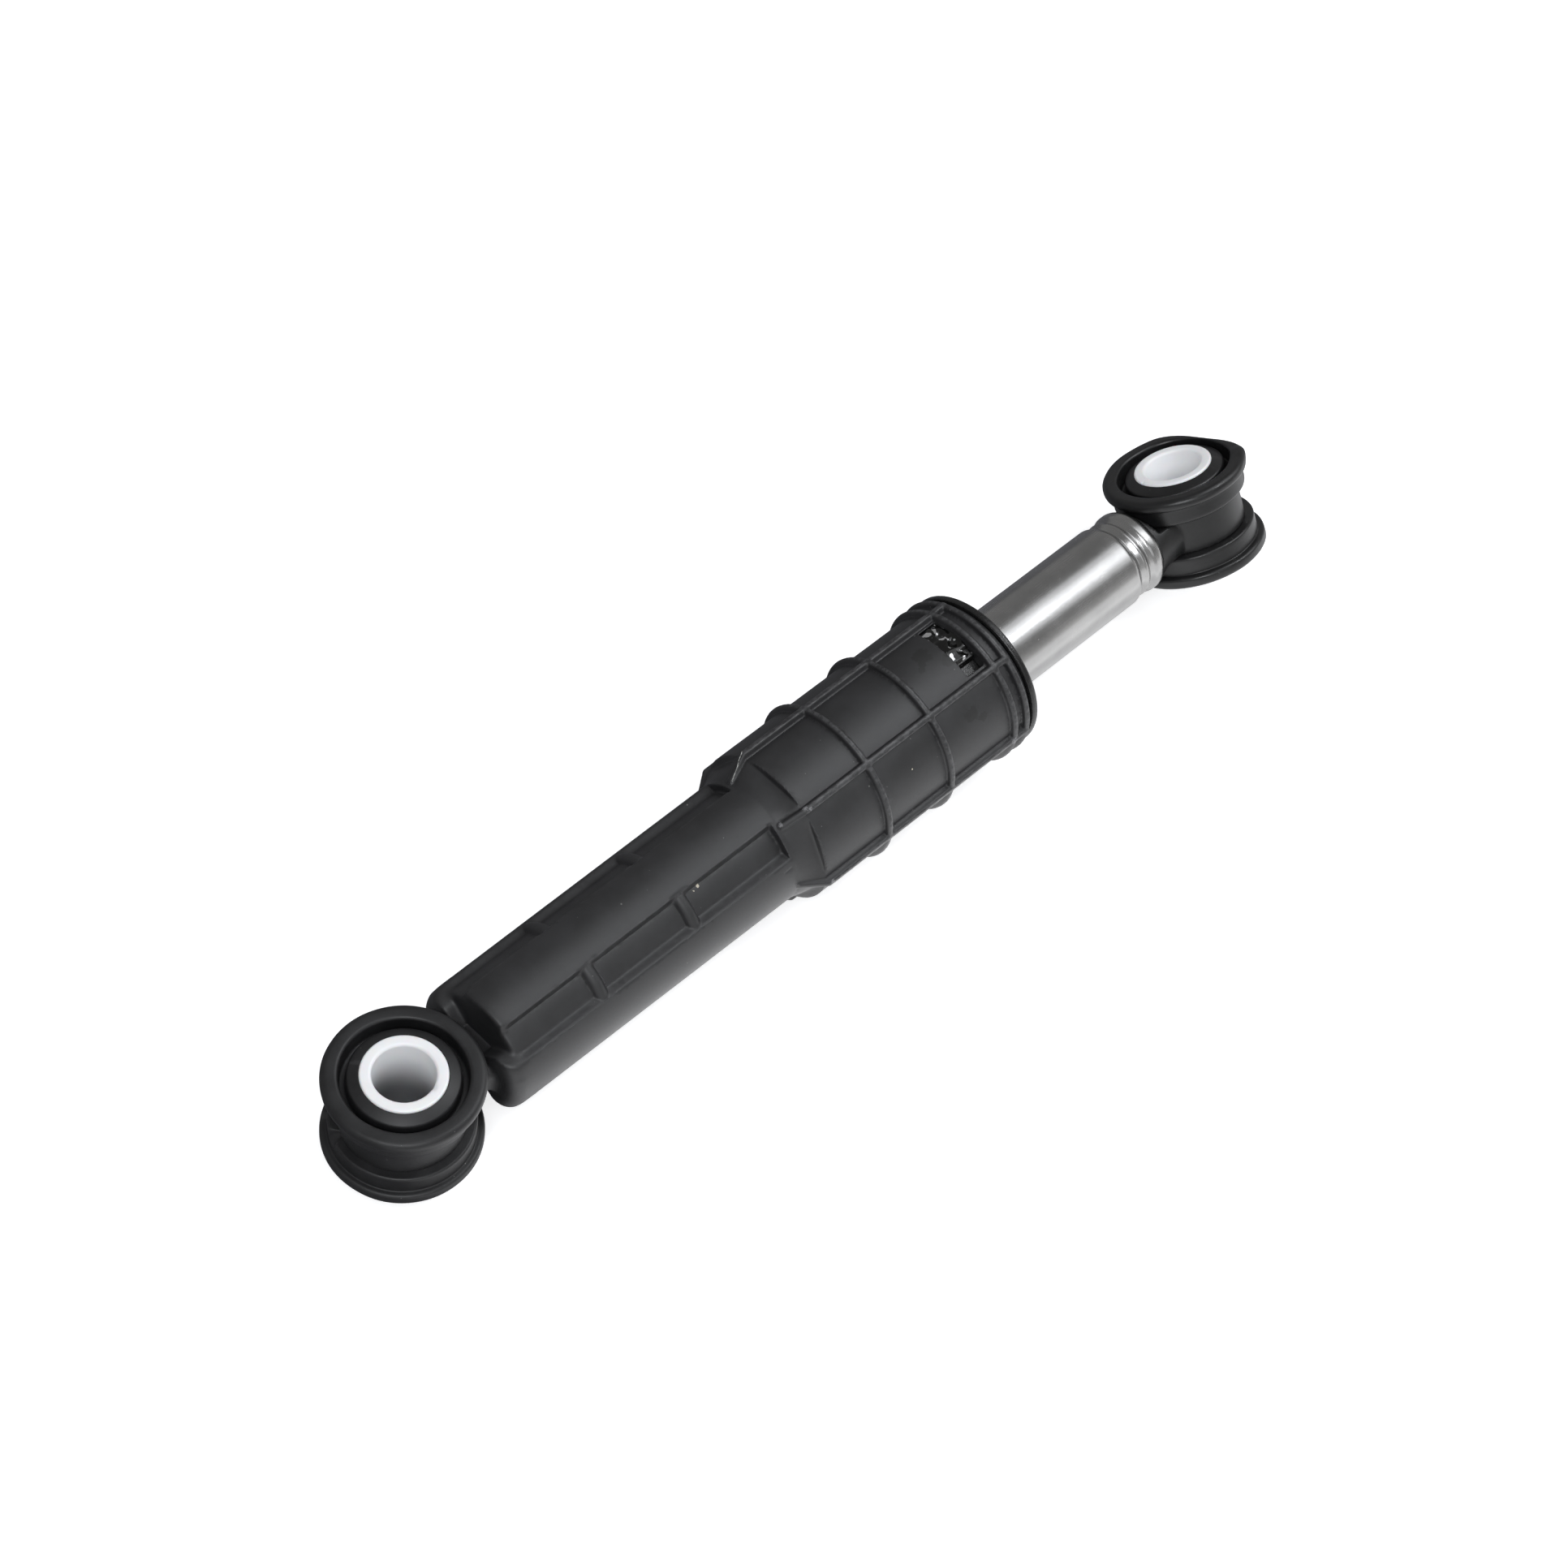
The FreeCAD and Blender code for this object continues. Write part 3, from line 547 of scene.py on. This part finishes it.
def roughen_rim(bm, middle, half_width, depth, outer):
    """Torn edge on a sleeve's top: outside or in the bore, over part of its turn."""
    for vert in bm.verts:
        radius, angle = around_z(vert.co)
        height = vert.co.z / MM
        at_rim = (radius > 8.4) if outer else (radius < 7.1)
        if height > 11.3 and at_rim:
            share = hump(turn_between(angle, middle), 0.0, half_width)
            jag = 0.5 + 0.9 * noise.noise(Vector((angle * 0.45, middle, 0)))
            vert.co.z -= max(0.0, jag) * share * depth * MM


CUFF_START = 219.6
CUFF_WAVES = 11


def scallop_cuff(bm):
    """The uneven edge that rolling leaves on the tube's end."""
    for vert in bm.verts:
        along = vert.co.x / MM - CUFF_START
        if along > 0:
            angle = math.atan2(vert.co.z, vert.co.y)
            uneven = noise.noise(Vector((math.cos(angle), math.sin(angle), 0)) * 3)
            wave = 0.5 + 0.5 * math.sin(CUFF_WAVES * angle) + 0.6 * uneven
            vert.co.x -= max(0.0, wave) * 0.16 * along * MM


# The snap lug: its span on X, the radius that it stands on and its end in the window, on Y
LUG_SPAN = (153.5, 160.5)
LUG_FOOT = 15.5
LUG_END = -4.4


def open_window_corner(mesh):
    """The snap lug's end stops short of the window's corner, which stays an open black hole."""
    for vert in mesh.vertices:
        along, across, height = vert.co / MM
        radius = math.hypot(across, height)
        if LUG_SPAN[0] < along < LUG_SPAN[1] and radius > LUG_FOOT and height > 0 and across < LUG_END:
            share = min(1.0, (LUG_END - across) / 0.5)
            sink = 1 - share * (radius - LUG_FOOT) / radius
            vert.co.y *= sink
            vert.co.z *= sink


def tube_radius(along):
    """Radius of the tapering tube at a place on X."""
    return TUBE_START_RADIUS + TUBE_GROWTH * (along - TUBE_START) / TUBE_LENGTH


# Depth of the facets that a round has in the CAD mesh
FACET_DEPTH = 0.09


def true_rounds(mesh):
    """Bring the tube, the pocket floors and the barrel from flat facets back to their true round."""
    for vert in mesh.vertices:
        along, across, height = vert.co / MM
        radius = math.hypot(across, height)
        rounds = []
        if 21.0 < along < 97.4:
            rounds = [tube_radius(along), POCKET_RADIUS]
        elif 102.8 < along < 166.0:
            rounds = [BARREL_RADIUS]
        for true in rounds:
            if abs(radius - true) < FACET_DEPTH:
                vert.co.y *= true / radius
                vert.co.z *= true / radius


# The bands' sides, on Y: where the top ends and where the pocket's floor starts
BAND_TOP = 5.66
BAND_FOOT = 5.94
# Half the length on X that a cross rib and its roundings take
RIB_REACH = 2.4
# Shares of the pocket's depth below this belong to the bore inside
BORE_SHARE = -0.12


def sharpen_bands(mesh):
    """The upright side of each band, from its edge down to the pocket's floor, with little rounding."""
    for vert in mesh.vertices:
        along, across, height = vert.co / MM
        side = abs(across)
        at_rib = any(abs(along - rib) < RIB_REACH for rib in CROSS_RIBS)
        if not 21.5 < along < 95.4 or not 4.7 < side < 6.9 or abs(height) < 8.6 or at_rib:
            continue
        depth = tube_radius(along) - POCKET_RADIUS
        share = (math.hypot(across, height) - POCKET_RADIUS) / depth
        if share < BORE_SHARE:
            continue
        if side < BAND_TOP:
            share = 1.0
        elif side > BAND_FOOT:
            share = 0.0
        else:
            share = min(1.0, max(0.0, 3 * share - 1))
        true = POCKET_RADIUS + share * depth
        vert.co.z = math.copysign(math.sqrt(true * true - side * side), height) * MM


END_PASSES = 40


def round_body_end(mesh):
    """The wider rounding of the band's end and the two ears beside it."""
    bm = bmesh.new()
    bm.from_mesh(mesh)
    ends = [vert for vert in bm.verts if 16.9 < vert.co.x / MM < 22.6 and abs(vert.co.z) > 4.5 * MM]
    for _ in range(END_PASSES):
        bmesh.ops.smooth_vert(bm, verts=ends, factor=0.5, use_axis_x=True, use_axis_y=True, use_axis_z=True)
    bm.to_mesh(mesh)
    bm.free()


def finish_housing(mesh):
    """All that the housing's fine mesh gets before it is thinned."""
    true_rounds(mesh)
    sharpen_bands(mesh)
    round_body_end(mesh)


# Grease in the top window: middle and length on X, length round the barrel, first angle and sweep, radius
GREASE_MIDDLE = 157.0
GREASE_LENGTH = 5.4
GREASE_ARC = 12.6
GREASE_ANGLE = 24.4
GREASE_SWEEP = 40.0
GREASE_RADIUS = 17.05


def window_grease():
    """Lumps of grease over the snap lug in the top window."""
    bm = bmesh.new()
    bmesh.ops.create_grid(bm, x_segments=60, y_segments=110, size=0.5)
    for vert in bm.verts:
        across, along = vert.co.x, vert.co.y
        angle = math.radians(GREASE_ANGLE - GREASE_SWEEP * (along + 0.5))
        spot = Vector((across * GREASE_LENGTH, along * GREASE_ARC, 0.0))
        lumps = 0.6 + noise.noise(spot * 0.40 + Vector((3.1, 7.7, 0))) + 0.15 * noise.noise(spot * 0.7)
        height = 0.95 * math.tanh(max(0.0, lumps))
        end = min(1.0, max(0.0, (0.5 - along) / 0.1))
        radius = GREASE_RADIUS + height * (0.25 + 0.75 * end) - 0.5 * (1 - end)
        place = GREASE_MIDDLE + across * GREASE_LENGTH
        vert.co = Vector((place, radius * math.sin(angle), radius * math.cos(angle))) * MM
    bmesh.ops.recalc_face_normals(bm, faces=bm.faces)
    bmesh.ops.solidify(bm, geom=list(bm.faces), thickness=0.35 * MM)
    return mesh_from(bm, "window_grease")


# Foot of the torn flash along the upper left gusset: place on X, radius and turn from the top
FLASH_PATH = (
    (103.2, 19.4, -30.6),
    (102.4, 19.1, -29.4),
    (101.4, 18.5, -28.9),
    (100.5, 17.9, -27.6),
    (99.4, 17.2, -26.6),
    (98.5, 16.4, -26.9),
    (97.7, 15.7, -26.0),
)


def torn_flash():
    """A curl of moulding flash along the upper left gusset."""
    bm = bmesh.new()
    chain = []
    for along, radius, turn in FLASH_PATH:
        angle = math.radians(turn)
        foot = Vector((along, -radius * math.sin(angle), radius * math.cos(angle)))
        chain.append(bm.verts.new(foot * MM))
    edges = [bm.edges.new(pair) for pair in zip(chain, chain[1:])]
    bmesh.ops.subdivide_edges(bm, edges=edges, cuts=3, smooth=1.0)
    grown = bmesh.ops.extrude_edge_only(bm, edges=list(bm.edges))
    for vert in grown["geom"]:
        if isinstance(vert, bmesh.types.BMVert):
            ragged = noise.noise(vert.co / (0.7 * MM))
            out = Vector((0, vert.co.y, vert.co.z)).normalized()
            vert.co += (out * (0.42 + 0.3 * ragged) + Vector((0, -0.25 - 0.3 * ragged, 0))) * MM
    bmesh.ops.recalc_face_normals(bm, faces=bm.faces)
    bmesh.ops.solidify(bm, geom=list(bm.faces), thickness=0.14 * MM)
    return mesh_from(bm, "torn_flash")


def make_camera():
    """Camera at the photograph's place and angle."""
    data = bpy.data.cameras.new("camera")
    data.lens = 88.477
    data.sensor_width = 36.0
    data.clip_start = 0.01
    data.clip_end = 20.0
    camera = bpy.data.objects.new("camera", data)
    bpy.context.scene.collection.objects.link(camera)
    right = Vector((0.70676, -0.70088, 0.09623))
    down = Vector((-0.53438, -0.61802, -0.57662))
    ahead = Vector((0.46361, 0.35611, -0.81133))
    turn = Matrix((right, -down, -ahead)).transposed().to_4x4()
    camera.matrix_world = Matrix.Translation(Vector((-270.174, -289.269, 671.748)) * MM) @ turn
    bpy.context.scene.camera = camera


def make_floor():
    """White floor that takes the shadow; in reflections it shows pale on its lit side, with painted shade
    beyond it and a painted shadow under the rod.
    """
    bm = bmesh.new()
    bmesh.ops.create_grid(bm, x_segments=1, y_segments=1, size=3.0)
    bmesh.ops.translate(bm, verts=bm.verts, vec=MIDDLE + Vector((0, 0, FLOOR_HEIGHT * MM)))
    mesh = bpy.data.meshes.new("floor")
    bm.to_mesh(mesh)
    bm.free()
    floor = bpy.data.objects.new("floor", mesh)
    bpy.context.scene.collection.objects.link(floor)
    finish = Finish(bpy.data.materials.new("white_floor"), "ShaderNodeAddShader")
    along, across, _ = finish.parts(finish.place())
    seen = finish.node("ShaderNodeLightPath").link.node.outputs
    mirrored = Socket(finish, seen["Is Glossy Ray"]) + Socket(finish, seen["Is Transmission Ray"])
    # In reflections the floor glows pale only on its lit side; elsewhere it is painted shade, and under the
    # rod a painted shadow
    lit_side = finish.step(across, 4.0, -12.0) * finish.step(0.5 * along - across, 12.0, 45.0)
    under_rod_painted_shadow = finish.step(along, 160.0, 175.0) * finish.step(across, -48.0, -30.0)
    lit_side = lit_side * (1 - 0.35 * finish.step(across, -25.0, -70.0)) * (1 - 0.5 * under_rod_painted_shadow)
    colour = finish.blend(mirrored * (1 - lit_side), rgb(0.86, 0.86, 0.865), rgb(0.20, 0.20, 0.21))
    matte = finish.node("ShaderNodeBsdfDiffuse", None, {"Color": colour})
    shown = 0.62 * Socket(finish, seen["Is Camera Ray"]) + 1.1 * mirrored * lit_side
    glow = finish.node("ShaderNodeEmission", None, {"Color": rgb(1, 1, 1), "Strength": shown})
    finish.feed(finish.shader.inputs[0], matte)
    finish.feed(finish.shader.inputs[1], glow)
    mesh.materials.append(finish.close())


def soft_box(name, direction, distance, size, watts):
    """Lamp with a rectangular face that faces the damper's middle from a direction."""
    away = Vector(direction).normalized()
    data = bpy.data.lights.new(name, "AREA")
    data.shape = "RECTANGLE"
    data.size, data.size_y = size
    data.energy = watts
    data.color = (0.95, 0.97, 1.0)
    lamp = bpy.data.objects.new(name, data)
    bpy.context.scene.collection.objects.link(lamp)
    lamp.location = MIDDLE + distance * away
    lamp.rotation_euler = away.to_track_quat("Z", "Y").to_euler()


# Lamps: name, direction from the damper's middle, distance and size in metres, watts
LAMPS = (
    ("top_box", (0.53, -0.17, 0.83), 0.95, (0.34, 0.9), 1.1),
    ("top_scrim", (0.53, -0.15, 0.83), 1.0, (0.78, 1.2), 2.9),
    ("front_box", (-0.10, -0.80, 0.60), 1.1, (0.7, 0.6), 0.9),
    ("camera_box", (-0.50, -0.34, 0.80), 1.1, (0.5, 0.5), 4.6),
    ("bare_bulb", (0.50, -0.30, 0.81), 0.9, (0.09, 0.09), 0.6),
)
# Greys of the tent from its foot, over its height
TENT_GREYS = ((0.0, 0.66), (0.15, 0.50), (0.40, 0.30), (1.0, 0.24))


def make_lights():
    """The lamps, and a pale tent round them that is darker at its top and its far side."""
    for lamp in LAMPS:
        soft_box(*lamp)
    world = bpy.data.worlds.new("tent")
    bpy.context.scene.world = world
    finish = Finish(world, "ShaderNodeBackground")
    ray = finish.node("ShaderNodeTexCoord", output="Generated")
    _, across, height = finish.parts(ray)
    tent = finish.node("ShaderNodeValToRGB", {"stops": TENT_GREYS},
                       {0: height + 0.4 * finish.step(across, -0.2, 0.7)})
    path = finish.node("ShaderNodeLightPath", output="Is Camera Ray")
    finish.set(Color=finish.blend(path, tent, rgb(1, 1, 1)))
    finish.close("ShaderNodeOutputWorld")


# Outlines of the turned forms: radius, height and corner cut
SLEEVE_OUTLINE = (
    (6.5, -12.0, 0.5),
    (9.0, -12.0, 0.5),
    (9.0, 12.0, 0.5),
    (7.8, 12.0, 0.0),
    (6.5, 12.0, 0.7),
)
# Upper half of a bush; the lower half has smaller corner cuts
BUSH_SIDE = (
    (11.18, 4.32, 0.2),
    (15.2, 4.32, 0.8),
    (15.2, 5.6, 0.0),
    (15.2, 6.5, 0.0),
    (15.2, 7.4, 0.0),
    (15.2, 8.6, 0.4),
    (16.72, 8.6, 1.1),
    (16.72, 11.5, 1.4),
    (13.1, 11.5, 0.8),
    (13.1, 7.4, 0.6),
    (11.6, 7.4, 0.5),
    (11.6, 10.4, 0.5),
    (9.02, 11.6, 0.25),
)
LOWER_CUT = 0.75
BUSH_OUTLINE = BUSH_SIDE + tuple((radius, -height, LOWER_CUT * cut)
                                 for radius, height, cut in reversed(BUSH_SIDE))
ROD_OUTLINE = (
    (9.0, 84.0, 0.2),
    (10.0, 84.0, 0.3),
    (10.0, 170.0, 0.0),
    (10.0, 212.4, 1.2),
    (8.6, 213.5, 0.4),
    (9.7, 214.9, 0.55),
    (8.85, 216.3, 0.35),
    (9.97, 217.4, 0.55),
    (9.97, 219.4, 0.6),
    (9.3, 220.6, 0.2),
    (8.4, 220.6, 0.1),
    (8.4, 213.6, 0.3),
    (9.0, 212.4, 0.3),
)

make_camera()
make_floor()
make_lights()

plastic = moulded_plastic()
rubber = bush_rubber()
white = sleeve_plastic()

housing = softened("housing_moulding", "housing", voxel=0.25, passes=2, share=0.145, rework=finish_housing)
piece("housing_moulding", housing, plastic, "housing", "moulded_black", "housing")
upper_eye = softened("upper_eye_moulding", "upper_eye", voxel=0.25, passes=4, share=0.4)
piece("upper_eye_moulding", upper_eye, eye_plastic(), "rod", "eye_black", "upper_eye")
guide_cap = softened("guide_cap_moulding", "guide_cap", voxel=0.22, passes=2, share=0.3,
                     rework=open_window_corner)
piece("guide_cap_moulding", guide_cap, greasy_plastic(), "housing", "moulded_black", "guide_cap")
piece("window_grease", window_grease(), wet_grease(), "housing", "moulded_black")
piece("torn_flash", torn_flash(), torn_plastic(), "housing", "moulded_black")

rod_form = turned_form(ROD_OUTLINE, "X")
scallop_cuff(rod_form)
piece("rod_drawn_tube", mesh_from(rod_form, "rod_drawn_tube"), rod_steel(), "rod", "rod_steel", "rod_tube")

for end, body, seat in (("lower", "housing", Matrix.Identity(4)), ("upper", "rod", UPPER_EYE)):
    sleeve = turned_form(SLEEVE_OUTLINE, "Z")
    bush = turned_form(BUSH_OUTLINE, "Z")
    if end == "lower":
        roughen_rim(sleeve, -70.0, 9.0, 0.7, outer=False)
        tear_lower_collar(bush)
        ripple(bush, 0.10, 9.0, 4.0)
    else:
        roughen_rim(sleeve, 170.0, 34.0, 0.5, outer=True)
        press_upper_flange(bush)
        ripple(bush, 0.13, 7.0, 11.0)
    for form in (sleeve, bush):
        bmesh.ops.transform(form, matrix=seat, verts=form.verts)
    piece(f"{end}_sleeve_tube", mesh_from(sleeve, f"{end}_sleeve_tube"), white, body, "sleeve_white",
          f"{end}_sleeve")
    piece(f"{end}_bush_bobbin", mesh_from(bush, f"{end}_bush_bobbin"), rubber, body, "bush_rubber",
          f"{end}_bush")

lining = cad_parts["friction_lining"]
lining.data.materials.clear()
lining.data.materials.append(lining_foam())

bpy.context.scene.view_settings.view_transform = "Standard"
